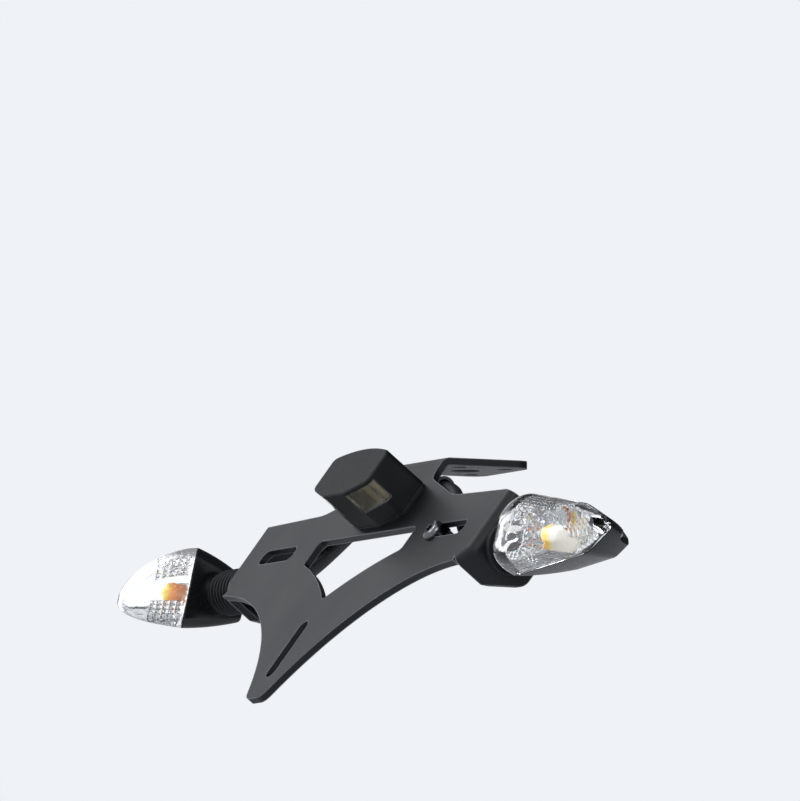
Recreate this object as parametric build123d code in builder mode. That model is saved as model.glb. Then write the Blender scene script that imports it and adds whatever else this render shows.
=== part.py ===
"""Tail tidy for a motorbike: a folded sheet bracket for the licence plate, with a plate lamp and two
turn indicators. Millimetres. +X is the bike's right, +Y is forward, +Z is up. The origin is the centre
of the four mounting holes, on top of the mounting flange."""

import os
from math import atan2, cos, degrees, hypot, pi, radians, sin, sqrt, tan

from build123d import *

os.makedirs("parts", exist_ok=True)

# Bracket sheet
sheet = 3.0
bend_inner = 1.5
bend_outer = bend_inner + sheet
lean = 52.5
wing_half = 103.6
wing_top = 28.5
wing_low = -1.0
wing_chamfer_across = 6.6
wing_chamfer_down = 5.6
tab_depth = 28.0
tab_corner = 6.0
tab_foot_depth = 15.0
tab_slant_top = 2.0
tab_edge_round = 6.0
fold_lap = 1.0
neck_half = 21.5
neck_rise = 10.0
shoulder_half = 54.0
shoulder_top = 30.0
neck_round = 7.0
shoulder_round = 25.0
fold_height = 52.0
horn_tip = -66.6
horn_tip_half = 6.4
horn_edge_radius = 108.4
horn_tip_round = 5.8

# Window and slots in the plate
window_half = 41.0
window_top = 15.6
window_side_foot = 4.0
window_point = -17.3
window_edge_radius = 138.0
window_round = 2.5
slot_width = 7.0
slot_length = 28.0
side_slot_out = 71.5
side_slot_up = 11.5
horn_slot_up = -42.0

# Mounting flange
flange_ahead = 18.0
flange_behind = 20.0
flange_corner = 6.0
mount_pitch_x = 28.0
mount_pitch_y = 20.0
mount_hole = 6.5
loom_hole = 12.0

# Plate lamp, measured from the plate's front face
lamp_half = 22.5
lamp_drop = 10.9
lamp_tall = 23.4
lamp_arch = 3.0
lamp_foot_half = 8.5
lamp_heel_rise = 4.9
lamp_depth = 21.0
lamp_corner = 3.0
lamp_edge = 0.8
lamp_wall = 2.0
lamp_gasket_thick = 1.2
lamp_lens_back = 9.0
lamp_lens_front = 19.0
lamp_lens_rise = 7.3
lamp_lens_wall = 1.8
lamp_bar_half = 8.0
lamp_screw_out = 15.0
lamp_screw_drop = 7.1
lamp_screw = 4.0
lamp_screw_reach = 9.0
lamp_screw_head = 7.0
lamp_screw_head_high = 2.6
lamp_screw_head_round = 1.0
lamp_screw_long = 12.0
lamp_screw_socket = 2.5
lamp_screw_socket_deep = 1.4
lamp_boss = 7.5
lamp_washer = 9.0
lamp_washer_thick = 0.8
lamp_trough_half = 10.2
lamp_trough_rise = 11.0
trough_round = 4.0
reflector_wall = 1.0
festoon_bulb = 6.4
festoon_cap = 5.4
festoon_glass_half = 5.4
festoon_half = 7.6
festoon_pin = 2.0
festoon_pin_past = 0.4
festoon_drop = 9.7
contact_thick = 0.6
contact_width = 5.0

# Indicators: place on the tab, and the angles of the lens plane
stem_up = 10.0
stem_back = 14.0
indicator_sweep = 27.3
indicator_tip_back = 13.0
indicator_stand = 14.1
indicator_out = 16.3
indicator_rise = -0.5

# Indicator lens and shell outline, in the lens plane
rim_inner = 22.0
rim_outer = 23.5
rim_top = 16.3
rim_bottom = 18.0
rim_shoulder_out = 8.0
rim_shoulder_up = 13.6
rim_tip_up = 6.5
rim_heel_out = 12.5
rim_heel_down = 6.0
rim_inner_round = 5.0
rim_foot_round = 3.5
rim_heel_round = 9.0
rim_tip_round = 3.5
rim_shoulder_round = 14.0
dome_round = 9.5
lens_bulge = 27.0
lens_wall = 2.0
lens_lean_in = 4.0
lens_lean_down = 8.0
lens_lean_ease = 1.3
lens_flare = 1.8
lens_stations = (0.0, 0.3, 0.58, 0.8, 0.93, 0.99)
gasket_thick = 0.6
gasket_hole_ratio = 0.82
shell_depth = 21.0
shell_ease = 0.58
shell_wall = 2.0
shell_back_ratio = 0.5
shell_back_round = 2.5
shell_run_out = 4.9
shell_run_up = 1.2
shell_stations = (0.0, 0.35, 0.68, 1.0)
shell_boss = 16.0
shell_boss_long = 9.0
bowl_flange = 0.8
bowl_flange_ratio = 0.87
bowl_depth = 8.0
bowl_wall = 1.0
bowl_mouth_ratio = 0.65
bowl_floor_ratio = 0.36
bowl_in = 2.8
bulb_in = 1.0
bulb_down = 1.0
bulb_glass = 8.6
bulb_tip = 10.5
bulb_neck = 1.0
bulb_cap = 8.0
bulb_foot = -13.0
holder_across = 10.8
holder_lip = 13.0
holder_lip_thick = 1.2
holder_floor = 1.5
lens_screw = 2.5
lens_screw_head = 4.5
lens_screw_head_high = 1.6
lens_screw_out = 17.5
lens_screw_up = 5.0
lens_screw_seat = -9.0
lens_screw_tip = 4.5
lens_lug = 5.6
lens_lug_high = 5.0
screw_post = 6.4

# Rubber stem, its stud and nut
stem_length = 32.5
stem_flange = 21.6
stem_flange_thick = 3.0
stem_body = 15.2
stem_rib = 17.8
stem_rib_thick = 1.3
stem_rib_pitch = 2.6
stem_rib_count = 10
stem_ring = 16.4
stem_ring_thick = 1.4
stem_soft = 0.5
stem_bore = 6.6
stud = 8.0
stud_bore = 4.2
stud_in_stem = 16.0
stud_past_nut = 2.0
stem_washer = 16.0
stem_washer_thick = 1.6
stem_nut = 13.0
stem_nut_thick = 6.5

# Leads, clips and the connector behind the neck
lead = 6.0
lead_drop = 8.6
lead_arc_share = 0.45
clip_wall = 1.2
clip_wide = 9.0
clip_ear_past = 5.0
connector_half = 8.0
connector_high = 10.0
connector_round = 1.2

# Bolt parked in the right slot
plate_bolt = 5.0
plate_bolt_head = 9.2
plate_bolt_head_high = 2.75
plate_bolt_head_round = 2.1
plate_bolt_socket = 3.0
plate_bolt_socket_deep = 1.6
plate_bolt_long = 10.0
plate_washer = 10.0
plate_washer_thick = 1.0
plate_nut = 8.0
plate_nut_thick = 4.0

# Clearances
hole_gap = 0.25
seat_gap = 0.15
ring_gap = 0.3

# Heights on the plate, counted down from the fold
neck_foot = fold_height - neck_rise
lamp_crown = fold_height - lamp_drop
lamp_shoulder = lamp_crown - lamp_arch
lamp_foot = lamp_crown - lamp_tall
lamp_heel = lamp_foot + lamp_heel_rise
lamp_screw_up = lamp_crown - lamp_screw_drop
festoon_up = lamp_crown - festoon_drop
lead_up = fold_height - lead_drop

# Where things stand in the frame
plate_y = -flange_behind - fold_height * cos(radians(lean))
plate_z = -fold_height * sin(radians(lean))


def leaning(origin, angle):
    """A plane across the bike that leans: local X is +X and local Y climbs forward at the angle."""
    return Plane(origin=origin, x_dir=(1, 0, 0), z_dir=(0, -sin(radians(angle)), cos(radians(angle))))


plate = leaning((0, plate_y, plate_z), lean)
ahead = Axis(plate.origin, plate.z_dir)


def section(out):
    """A plane that cuts the plate at a distance from the middle: local X climbs it, local Y leaves it."""
    return Plane(origin=plate.from_local_coords((out, 0, 0)), x_dir=plate.y_dir, z_dir=(1, 0, 0))


def level(up):
    """A plane square to the plate at a height on it: local Y leaves the plate, local Z climbs it."""
    return Plane(origin=plate.from_local_coords((0, up, 0)), x_dir=(-1, 0, 0), z_dir=plate.y_dir)


def keep(node, name):
    """Label a finished piece and write it."""
    node.part.label = name
    export_step(node.part, f"parts/{name}.step")


def keep_pair(node, name):
    """Write a right-hand piece, and its mirror image for the left."""
    keep(node, f"right_{name}")
    with BuildPart() as other:
        mirror(node.part, about=Plane.YZ)
    keep(other, f"left_{name}")


def both_sides(out, up):
    """The same spot on both halves of the plate."""
    return Locations((out, up), (-out, up))


# Bracket: one folded sheet
tab_foot = Vector(wing_half - wing_chamfer_across, wing_low - wing_chamfer_down)
tab_slope = wing_chamfer_down / wing_chamfer_across
tab_inward = Vector(-wing_chamfer_down, wing_chamfer_across).normalized()
tab_turn = degrees(atan2(wing_chamfer_across, wing_chamfer_down))
tab_tangent = tab_edge_round * tan(radians(tab_turn / 2))
land_foot = tab_foot + tab_inward * bend_outer
land_half = wing_half - bend_outer
land_low = land_foot.Y + (land_half - land_foot.X) * tab_slope
land_top = fold_height - bend_outer * tan(radians(lean / 2))
tab_side = Vector(wing_half, wing_low + tab_tangent)
stem_root = plate.from_local_coords((wing_half, stem_up, -stem_back))


def tab_plane(spot, turn):
    """A plane square to the wing's contour at a spot: local X leads outward, local Y off the plate."""
    turned = radians(turn)
    return Plane(
        origin=plate.from_local_coords((spot.X, spot.Y, 0)),
        x_dir=plate.x_dir * cos(turned) - plate.y_dir * sin(turned),
        z_dir=-plate.x_dir * sin(turned) - plate.y_dir * cos(turned),
    )


def tab_section():
    """The folded sheet's section, from a lap on the flat plate to the tab's free edge."""
    with BuildSketch() as cut:
        with BuildLine():
            skin = FilletPolyline(
                (-bend_outer - fold_lap, 0), (0, 0), (0, -tab_depth), radius=bend_outer
            )
            offset(skin, amount=sheet, side=Side.RIGHT)
        make_face()
    return cut.sketch


def stem_plane(out):
    """A plane square to the stem's axis, at a distance outside the tab."""
    return Plane(origin=stem_root + Vector(out, 0, 0), x_dir=(0, 1, 0), z_dir=(1, 0, 0))


with BuildPart() as bracket:
    # Flat plate, up to where the folds begin
    with BuildSketch(plate) as face:
        with BuildLine():
            shoulder = FilletPolyline(
                (0, land_top),
                (neck_half, land_top),
                (neck_half, neck_foot),
                (shoulder_half, shoulder_top),
                (land_half, wing_top),
                radius=[0, neck_round, shoulder_round],
            )
            end = Polyline(shoulder @ 1, (land_half, land_low), land_foot, tab_foot)
            edge = RadiusArc(end @ 1, (horn_tip_half, horn_tip), -horn_edge_radius)
            Line(edge @ 1, (0, horn_tip))
            mirror(about=Plane.YZ)
        make_face()
        fillet(face.vertices().group_by(Axis.Y)[0], radius=horn_tip_round)
        with both_sides(side_slot_out, side_slot_up):
            SlotOverall(slot_length, slot_width, mode=Mode.SUBTRACT)
        with Locations((0, horn_slot_up)):
            SlotOverall(slot_length, slot_width, rotation=90, mode=Mode.SUBTRACT)
        with both_sides(lamp_screw_out, lamp_screw_up):
            Circle(lamp_screw / 2 + hole_gap, mode=Mode.SUBTRACT)
    extrude(amount=-sheet)
    with BuildSketch(plate) as window:
        with BuildLine():
            side = Polyline((0, window_top), (window_half, window_top), (window_half, window_side_foot))
            RadiusArc(side @ 1, (0, window_point), -window_edge_radius)
            mirror(about=Plane.YZ)
        make_face()
        fillet(window.vertices(), radius=window_round)
    extrude(amount=-sheet, mode=Mode.SUBTRACT)

    # End tab, folded back round the wing's end and on round its lower corner
    with BuildSketch(tab_plane(tab_side, 0)):
        add(tab_section())
    extrude(amount=-(wing_top - tab_side.Y))
    with BuildSketch(tab_plane(tab_side, 0)):
        add(tab_section())
    tab_corner_axis = Axis(plate.from_local_coords((wing_half - tab_edge_round, tab_side.Y, 0)), plate.z_dir)
    revolve(axis=tab_corner_axis, revolution_arc=-tab_turn)
    with BuildSketch(tab_plane(tab_foot, tab_turn)):
        add(tab_section())
    extrude(amount=-(hypot(wing_chamfer_across, wing_chamfer_down) - tab_tangent))
    mirror(about=Plane.YZ)

    # The tabs' lower ends, cut on a slant
    with BuildSketch(section(-2 * wing_half)):
        with BuildLine():
            Polyline(
                (tab_slant_top, -tab_depth),
                (tab_foot.Y, -tab_foot_depth),
                (tab_foot.Y - tab_depth, -tab_foot_depth),
                (tab_foot.Y - tab_depth, -tab_depth),
                close=True,
            )
        make_face()
    extrude(amount=4 * wing_half, mode=Mode.SUBTRACT)

    # Mounting flange, folded forward at the top of the neck
    flange_end = Vector(fold_height, 0) + Vector(cos(radians(lean)), -sin(radians(lean))) * (
        flange_behind + flange_ahead
    )
    with BuildSketch(section(-neck_half)):
        with BuildLine():
            skin = FilletPolyline(
                (land_top - fold_lap, 0), (fold_height, 0), flange_end, radius=bend_outer
            )
            offset(skin, amount=sheet, side=Side.RIGHT)
        make_face()
    extrude(amount=2 * neck_half)
    fillet(bracket.edges().filter_by(Axis.Z).group_by(Axis.Y)[-1], radius=flange_corner)
    with BuildSketch(Plane.XY):
        with GridLocations(mount_pitch_x, mount_pitch_y, 2, 2):
            Circle(mount_hole / 2)
        Circle(loom_hole / 2)
    extrude(amount=-sheet, mode=Mode.SUBTRACT)

    # Stem holes through both tabs, and the tabs' rounded upper corners
    with BuildSketch(stem_plane(sheet)):
        Circle(stud / 2 + hole_gap)
    extrude(amount=-2 * (wing_half + sheet), mode=Mode.SUBTRACT)
    tab_ends = bracket.edges().filter_by(Axis.X).filter_by(lambda e: abs(e.center().X) > land_half)
    fillet(tab_ends.group_by(ahead)[0], radius=tab_corner)

keep(bracket, "plate_bracket")


# Plate lamp, on the neck's front face
def lamp_outline(inset=0.0):
    """The lamp's outline on the plate: arched top, straight sides and a narrower foot."""
    with BuildSketch() as outline:
        with BuildLine():
            side = Polyline(
                (0, lamp_foot),
                (lamp_foot_half, lamp_foot),
                (lamp_half, lamp_heel),
                (lamp_half, lamp_shoulder),
            )
            mirror(side, about=Plane.YZ)
            ThreePointArc((lamp_half, lamp_shoulder), (0, lamp_crown), (-lamp_half, lamp_shoulder))
        make_face()
        fillet(outline.vertices().filter_by(lambda corner: abs(corner.X) > lamp_corner), radius=lamp_corner)
        if inset:
            offset(amount=-inset, mode=Mode.REPLACE)
    return outline.sketch


lamp_floor = lamp_gasket_thick + lamp_wall
lamp_roof = lamp_depth - lamp_wall
lamp_middle = (lamp_floor + lamp_roof) / 2
lens_line = lamp_foot + lamp_lens_rise

with BuildPart() as lamp_gasket:
    with BuildSketch(plate):
        add(lamp_outline(seat_gap))
        with both_sides(lamp_screw_out, lamp_screw_up):
            Circle(lamp_screw / 2 + hole_gap, mode=Mode.SUBTRACT)
    extrude(amount=lamp_gasket_thick)
keep(lamp_gasket, "lamp_gasket")

with BuildPart() as lamp_housing:
    with BuildSketch(plate.offset(lamp_gasket_thick)):
        add(lamp_outline())
    extrude(amount=lamp_depth - lamp_gasket_thick)
    fillet(lamp_housing.faces().sort_by(ahead)[-1].edges(), radius=lamp_edge)
    with BuildSketch(plate.offset(lamp_floor)):
        add(lamp_outline(lamp_wall))
    extrude(amount=lamp_roof - lamp_floor, mode=Mode.SUBTRACT)
    with BuildSketch(plate.offset(lamp_lens_back)):
        with both_sides(lamp_bar_half + lamp_half, lamp_foot):
            Rectangle(2 * lamp_half, 2 * lamp_lens_rise)
    extrude(amount=lamp_lens_front - lamp_lens_back, mode=Mode.SUBTRACT)
    with BuildSketch(plate.offset(lamp_floor)):
        with both_sides(lamp_screw_out, lamp_screw_up):
            Circle(lamp_boss / 2)
    extrude(amount=lamp_roof - lamp_floor)
    with BuildSketch(plate.offset(lamp_gasket_thick)):
        with both_sides(lamp_screw_out, lamp_screw_up):
            Circle(lamp_screw / 2 + hole_gap)
    extrude(amount=lamp_screw_reach, mode=Mode.SUBTRACT)
keep(lamp_housing, "lamp_housing")

with BuildPart() as lamp_lens:
    with BuildSketch(plate.offset(lamp_lens_back)):
        add(lamp_outline())
        add(lamp_outline(lamp_lens_wall), mode=Mode.SUBTRACT)
        with Locations((0, lens_line - seat_gap)):
            Rectangle(4 * lamp_half, lamp_crown, align=(Align.CENTER, Align.MIN), mode=Mode.SUBTRACT)
        with Locations((0, lamp_foot)):
            Rectangle(2 * (lamp_bar_half + seat_gap), 2 * lamp_lens_rise, mode=Mode.SUBTRACT)
    extrude(amount=lamp_lens_front - lamp_lens_back)
keep(lamp_lens, "lamp_lens")

tray_half = lamp_half - lamp_wall - seat_gap
tray_deep = lamp_roof - lamp_floor
tray_foot = lens_line + seat_gap
trough_deep = tray_deep - 2 * reflector_wall

with BuildPart() as lamp_reflector:
    with BuildSketch(level(tray_foot)):
        with Locations((0, lamp_middle)):
            Rectangle(2 * tray_half, tray_deep)
    extrude(amount=reflector_wall)
    with BuildSketch(level(tray_foot)):
        with Locations((0, lamp_middle)):
            RectangleRounded(2 * lamp_trough_half, trough_deep, trough_round)
    extrude(amount=lamp_trough_rise)
    with BuildSketch(level(tray_foot)):
        with Locations((0, lamp_middle)):
            RectangleRounded(
                2 * (lamp_trough_half - reflector_wall),
                trough_deep - 2 * reflector_wall,
                trough_round - reflector_wall,
            )
    extrude(amount=lamp_trough_rise - reflector_wall, mode=Mode.SUBTRACT)
keep(lamp_reflector, "lamp_reflector")

contact_top = tray_foot + lamp_trough_rise - reflector_wall
festoon_axis = Axis(plate.from_local_coords((0, festoon_up, lamp_middle)), (1, 0, 0))

with BuildPart() as lamp_contacts:
    for side in (1, -1):
        with BuildSketch(section(side * festoon_half)):
            with Locations((contact_top, lamp_middle)):
                Rectangle(
                    contact_top - festoon_up + festoon_pin,
                    contact_width,
                    align=(Align.MAX, Align.CENTER),
                )
            with Locations((festoon_up, lamp_middle)):
                Circle(festoon_pin / 2 + hole_gap, mode=Mode.SUBTRACT)
        extrude(amount=side * contact_thick)
keep(lamp_contacts, "lamp_contacts")

with BuildPart() as lamp_bulb:
    with BuildSketch(plate.offset(lamp_middle)):
        with Locations((0, festoon_up)):
            Rectangle(2 * festoon_half, festoon_cap / 2, align=(Align.CENTER, Align.MIN))
            Rectangle(2 * festoon_glass_half, festoon_bulb / 2, align=(Align.CENTER, Align.MIN))
            Rectangle(
                2 * (festoon_half + contact_thick + festoon_pin_past),
                festoon_pin / 2,
                align=(Align.CENTER, Align.MIN),
            )
    revolve(axis=festoon_axis)
keep(lamp_bulb, "lamp_bulb")

# Lead clips under the lamp screws
clip_ring = lead / 2 + ring_gap
lead_back = sheet + ring_gap + clip_wall + clip_ring

with BuildPart() as lead_clips:
    for side in (1, -1):
        with BuildSketch(section(side * (lamp_screw_out - clip_wide / 2))):
            with Locations((lead_up, -lead_back)):
                Circle(clip_ring + clip_wall)
            with Locations((lamp_screw_up - clip_ear_past, -sheet)):
                Rectangle(
                    lead_up - lamp_screw_up + clip_ear_past,
                    clip_wall,
                    align=(Align.MIN, Align.MAX),
                )
            with Locations((lead_up, -lead_back)):
                Circle(clip_ring, mode=Mode.SUBTRACT)
        extrude(amount=side * clip_wide)
    with BuildSketch(plate.offset(-sheet)):
        with both_sides(lamp_screw_out, lamp_screw_up):
            Circle(lamp_screw / 2 + hole_gap)
    extrude(amount=-clip_wall, mode=Mode.SUBTRACT)
keep(lead_clips, "lead_clips")

washer_seat = -sheet - clip_wall
head_seat = washer_seat - lamp_washer_thick

with BuildPart() as lamp_washers:
    with BuildSketch(plate.offset(washer_seat)):
        with both_sides(lamp_screw_out, lamp_screw_up):
            Circle(lamp_washer / 2)
            Circle(lamp_screw / 2 + hole_gap, mode=Mode.SUBTRACT)
    extrude(amount=-lamp_washer_thick)
keep(lamp_washers, "lamp_washers")

with BuildPart() as lamp_screws:
    with BuildSketch(plate.offset(head_seat)):
        with both_sides(lamp_screw_out, lamp_screw_up):
            Circle(lamp_screw_head / 2)
    extrude(amount=-lamp_screw_head_high)
    fillet(lamp_screws.faces().sort_by(ahead)[:2].edges(), radius=lamp_screw_head_round)
    with BuildSketch(plate.offset(head_seat)):
        with both_sides(lamp_screw_out, lamp_screw_up):
            Circle(lamp_screw / 2)
    extrude(amount=lamp_screw_long)
    with BuildSketch(plate.offset(head_seat - lamp_screw_head_high)):
        with both_sides(lamp_screw_out, lamp_screw_up):
            RegularPolygon(lamp_screw_socket / 2, 6, major_radius=False)
    extrude(amount=lamp_screw_socket_deep, mode=Mode.SUBTRACT)
keep(lamp_screws, "lamp_screws")

# Bolt in the right slot, with its washer and nut behind the plate
bolt_drop = (slot_width - plate_bolt) / 2 - hole_gap
bolt_spot = (side_slot_out - slot_length / 2 + slot_width / 2, side_slot_up - bolt_drop)
nut_seat = -sheet - plate_washer_thick

with BuildPart() as plate_bolt_piece:
    with BuildSketch(plate):
        with Locations(bolt_spot):
            Circle(plate_bolt_head / 2)
    extrude(amount=plate_bolt_head_high)
    fillet(plate_bolt_piece.faces().sort_by(ahead)[-1].edges(), radius=plate_bolt_head_round)
    with BuildSketch(plate):
        with Locations(bolt_spot):
            Circle(plate_bolt / 2)
    extrude(amount=-plate_bolt_long)
    with BuildSketch(plate.offset(plate_bolt_head_high)):
        with Locations(bolt_spot):
            RegularPolygon(plate_bolt_socket / 2, 6, major_radius=False)
    extrude(amount=-plate_bolt_socket_deep, mode=Mode.SUBTRACT)
keep(plate_bolt_piece, "slot_bolt")

with BuildPart() as plate_washer_piece:
    with BuildSketch(plate.offset(-sheet)):
        with Locations(bolt_spot):
            Circle(plate_washer / 2)
            Circle(plate_bolt / 2 + hole_gap, mode=Mode.SUBTRACT)
    extrude(amount=-plate_washer_thick)
keep(plate_washer_piece, "slot_washer")

with BuildPart() as plate_nut_piece:
    with BuildSketch(plate.offset(nut_seat)):
        with Locations(bolt_spot):
            RegularPolygon(plate_nut / 2, 6, major_radius=False)
            Circle(plate_bolt / 2 + hole_gap, mode=Mode.SUBTRACT)
    extrude(amount=-plate_nut_thick)
keep(plate_nut_piece, "slot_nut")

# Rubber stem, from the tab out to the shell's boss
stem_axis = Axis(stem_root, (1, 0, 0))
stem_profile = Plane(origin=stem_root, x_dir=(1, 0, 0), z_dir=(0, -1, 0))

with BuildPart() as stem:
    with BuildSketch(stem_profile) as profile:
        Rectangle(stem_length, stem_body / 2, align=(Align.MIN, Align.MIN))
        Rectangle(stem_flange_thick, stem_flange / 2, align=(Align.MIN, Align.MIN))
        for rib in range(stem_rib_count):
            with Locations((stem_flange_thick + stem_rib_pitch * (rib + 0.5), 0)):
                Rectangle(stem_rib_thick, stem_rib / 2, align=(Align.MIN, Align.MIN))
        with Locations((stem_length, 0)):
            Rectangle(stem_ring_thick, stem_ring / 2, align=(Align.MAX, Align.MIN))
        fillet(profile.vertices().filter_by(lambda v: v.Y > stem_body / 2 + seat_gap), radius=stem_soft)
        Rectangle(stem_length, stem_bore / 2, align=(Align.MIN, Align.MIN), mode=Mode.SUBTRACT)
        Rectangle(
            stud_in_stem, stud / 2 + hole_gap, align=(Align.MIN, Align.MIN), mode=Mode.SUBTRACT
        )
    revolve(axis=stem_axis)
keep_pair(stem, "stem")

nut_face = -sheet - stem_washer_thick
stud_end = nut_face - stem_nut_thick - stud_past_nut

with BuildPart() as stem_stud:
    with BuildSketch(stem_plane(stud_end)):
        Circle(stud / 2)
        Circle(stud_bore / 2, mode=Mode.SUBTRACT)
    extrude(amount=stud_in_stem - stud_end)
keep_pair(stem_stud, "stem_stud")

with BuildPart() as stem_washer_piece:
    with BuildSketch(stem_plane(-sheet)):
        Circle(stem_washer / 2)
        Circle(stud / 2 + hole_gap, mode=Mode.SUBTRACT)
    extrude(amount=-stem_washer_thick)
keep_pair(stem_washer_piece, "stem_washer")

with BuildPart() as stem_nut_piece:
    with BuildSketch(stem_plane(nut_face)):
        RegularPolygon(stem_nut / 2, 6, major_radius=False)
        Circle(stud / 2 + hole_gap, mode=Mode.SUBTRACT)
    extrude(amount=-stem_nut_thick)
keep_pair(stem_nut_piece, "stem_nut")

# Right indicator, worked out in its lens plane: local X runs outboard, local Y up and local Z to the rear
swept = radians(indicator_sweep)
tipped = radians(indicator_tip_back)
rearward = Vector(sin(swept), -cos(swept) * cos(tipped), cos(swept) * sin(tipped))
outward = Vector(cos(swept), sin(swept) * cos(tipped), -sin(swept) * sin(tipped))
upward = rearward.cross(outward)
stem_end = stem_root + Vector(stem_length, 0, 0)
lens_origin = stem_end + rearward * indicator_stand + outward * indicator_out + upward * indicator_rise
lens_plane = Plane(origin=lens_origin, x_dir=outward, z_dir=rearward)
lens_axis = Axis(lens_origin, rearward)
shell_rim = -gasket_thick
bowl_back = -bowl_depth - bowl_wall
screw_spot = (lens_screw_out, lens_screw_up)
bulb_spot = (-bulb_in, -bulb_down)


def rim_outline(size=1.0, out=0.0, up=0.0, dome=0.0):
    """The indicator's outline, scaled about the lens plane's origin and moved; dome rounds its corners."""
    corners = (
        (-rim_inner, -rim_bottom, rim_foot_round),
        (rim_heel_out, -rim_heel_down, rim_heel_round),
        (rim_outer, rim_tip_up, rim_tip_round),
        (rim_shoulder_out, rim_shoulder_up, rim_shoulder_round),
        (-rim_inner, rim_top, rim_inner_round),
    )
    spots = [(across * size + out, height * size + up) for across, height, bend in corners]
    bends = [size * (bend + dome * max(0, dome_round - bend)) for across, height, bend in corners]
    with BuildSketch() as outline:
        with BuildLine():
            FilletPolyline(*spots, radius=bends, close=True)
        make_face()
    return outline.sketch


def lens_section(share, bulge, scale):
    """Height and outline of the lens at a share of its bulge."""
    size = scale * sqrt(1 - share**lens_flare)
    inward = -lens_lean_in * share**lens_lean_ease
    downward = -lens_lean_down * share**lens_lean_ease
    return share * bulge, rim_outline(size, inward, downward, share)


def shell_section(share, inset):
    """Height and outline of the shell at a share of its depth, drawn in by a share of the outline's size."""
    size = 1 - (1 - shell_back_ratio) * (shell_ease * share + (1 - shell_ease) * share**2)
    outline = rim_outline(size - inset, shell_run_out * share, shell_run_up * share)
    return shell_rim - share * shell_depth, outline


# Lens: its hollow first, with a lug left standing for the lens screw
with BuildPart() as lens_hollow:
    for station in lens_stations:
        height, outline = lens_section(station, lens_bulge - lens_wall, 1 - lens_wall / rim_bottom)
        with BuildSketch(lens_plane.offset(height)):
            add(outline)
    loft()
    with BuildSketch(lens_plane.offset(bowl_flange)):
        with Locations(screw_spot):
            Circle(lens_lug / 2)
    extrude(amount=lens_lug_high, mode=Mode.SUBTRACT)

with BuildPart() as indicator_lens:
    for station in lens_stations:
        height, outline = lens_section(station, lens_bulge, 1)
        with BuildSketch(lens_plane.offset(height)):
            add(outline)
    loft()
    add(lens_hollow.part, mode=Mode.SUBTRACT)
    with BuildSketch(lens_plane):
        with Locations(screw_spot):
            Circle(lens_screw / 2 + hole_gap)
    extrude(amount=lens_screw_tip + seat_gap, mode=Mode.SUBTRACT)
keep_pair(indicator_lens, "indicator_lens")

with BuildPart() as indicator_gasket:
    with BuildSketch(lens_plane.offset(shell_rim)):
        add(rim_outline())
        add(rim_outline(gasket_hole_ratio), mode=Mode.SUBTRACT)
        with Locations(screw_spot):
            Circle(lens_screw / 2 + hole_gap, mode=Mode.SUBTRACT)
    extrude(amount=gasket_thick)
keep_pair(indicator_gasket, "indicator_gasket")

# Silver bowl behind the lens, open at its floor for the bulb
bowl_rim = bowl_wall / rim_bottom

with BuildPart() as indicator_bowl:
    with BuildSketch(lens_plane):
        add(rim_outline(bowl_flange_ratio))
    extrude(amount=bowl_flange)
    for height, size in ((bowl_flange, bowl_mouth_ratio), (bowl_back, bowl_floor_ratio)):
        with BuildSketch(lens_plane.offset(height)):
            add(rim_outline(size + bowl_rim, -bowl_in))
    loft(ruled=True)
    for height, size in ((bowl_flange, bowl_mouth_ratio), (-bowl_depth, bowl_floor_ratio)):
        with BuildSketch(lens_plane.offset(height)):
            add(rim_outline(size, -bowl_in))
    loft(ruled=True, mode=Mode.SUBTRACT)
    with BuildSketch(lens_plane.offset(bowl_flange)):
        with Locations(screw_spot):
            Circle(lens_screw / 2 + hole_gap)
        with Locations(bulb_spot):
            Circle(bulb_cap / 2 + hole_gap)
    extrude(amount=bowl_back - bowl_flange, mode=Mode.SUBTRACT)
keep_pair(indicator_bowl, "indicator_reflector")

# Shell: its hollow first, with a post left standing for the lens screw
shell_inset = shell_wall / rim_bottom
hollow_share = 1 - shell_wall / shell_depth

with BuildPart() as hollow:
    for station in shell_stations:
        height, outline = shell_section(station * hollow_share, shell_inset)
        with BuildSketch(lens_plane.offset(height)):
            add(outline)
    loft()
    with BuildSketch(lens_plane):
        with Locations(screw_spot):
            Circle(screw_post / 2)
    extrude(amount=-2 * shell_depth, mode=Mode.SUBTRACT)

with BuildPart() as indicator_body:
    for station in shell_stations:
        height, outline = shell_section(station, 0)
        with BuildSketch(lens_plane.offset(height)):
            add(outline)
    loft()
    fillet(indicator_body.faces().sort_by(lens_axis)[0].edges(), radius=shell_back_round)
    with BuildSketch(stem_plane(stem_length)):
        Circle(shell_boss / 2)
    extrude(amount=shell_boss_long)
    add(hollow.part, mode=Mode.SUBTRACT)
    with BuildSketch(stem_plane(stem_length)):
        Circle(stem_bore / 2)
    extrude(amount=shell_boss_long + shell_wall, mode=Mode.SUBTRACT)
    with BuildSketch(lens_plane):
        with Locations(screw_spot):
            Circle(lens_screw / 2 + hole_gap)
    extrude(amount=lens_screw_seat, mode=Mode.SUBTRACT)
    with BuildSketch(lens_plane.offset(lens_screw_seat)):
        with Locations(screw_spot):
            Circle(lens_screw_head / 2 + hole_gap)
    extrude(amount=-shell_depth, mode=Mode.SUBTRACT)
keep_pair(indicator_body, "indicator_body")

with BuildPart() as lens_screw_piece:
    with BuildSketch(lens_plane.offset(lens_screw_seat)):
        with Locations(screw_spot):
            Circle(lens_screw_head / 2)
    extrude(amount=-lens_screw_head_high)
    with BuildSketch(lens_plane.offset(lens_screw_seat)):
        with Locations(screw_spot):
            Circle(lens_screw / 2)
    extrude(amount=lens_screw_tip - lens_screw_seat)
keep_pair(lens_screw_piece, "lens_screw")

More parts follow.
